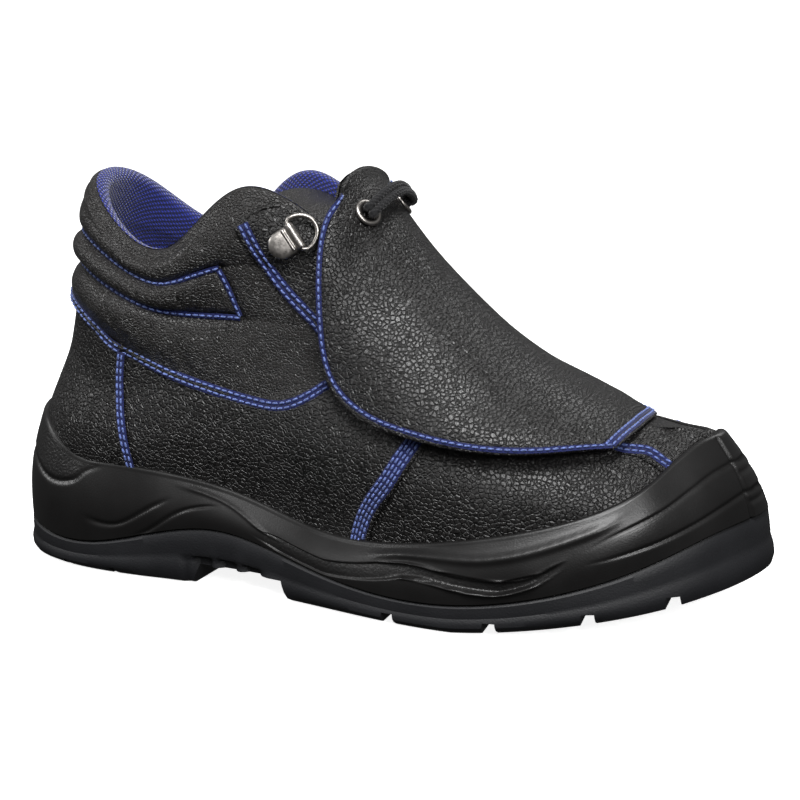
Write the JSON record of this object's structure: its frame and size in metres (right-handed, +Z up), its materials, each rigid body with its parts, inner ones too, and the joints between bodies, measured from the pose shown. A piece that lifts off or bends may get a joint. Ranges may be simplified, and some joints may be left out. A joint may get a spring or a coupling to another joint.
{
  "type": "metatarsal guard boot",
  "caption": "Low black leather safety boot with a padded collar, an outside flap that guards the instep, and a moulded two-layer sole",
  "frame": {"origin": "middle of the boot's box, on the floor the sole stands on", "axes": "+X is the way the toe points, +Y is the inner side of the foot, +Z is up"},
  "size_m": [0.3044, 0.1148, 0.1627],
  "materials": {
    "upper_leather": "coarse pebbled grain, satin",
    "collar_leather": "soft fine grain, matte",
    "insole_felt": "matte felt",
    "midsole_foam": "satin moulded skin",
    "outsole_rubber": "matte, fine texture",
    "nickel": "dull nickel plate",
    "lace": "braided, matte"
  },
  "bodies": {
    "root": {"upper": "upper_leather", "counter": "upper_leather", "facing_outer": "upper_leather", "facing_inner": "upper_leather", "guard": "upper_leather", "tongue": "collar_leather", "insole": "insole_felt", "midsole": "midsole_foam", "outsole": "outsole_rubber", "eyelet_outer": "nickel", "eyelet_inner": "nickel", "clip_outer": "nickel", "clip_inner": "nickel", "ring_outer": "nickel", "ring_inner": "nickel", "lace_front": "lace", "lace_back": "lace"}
  },
  "joints": []
}
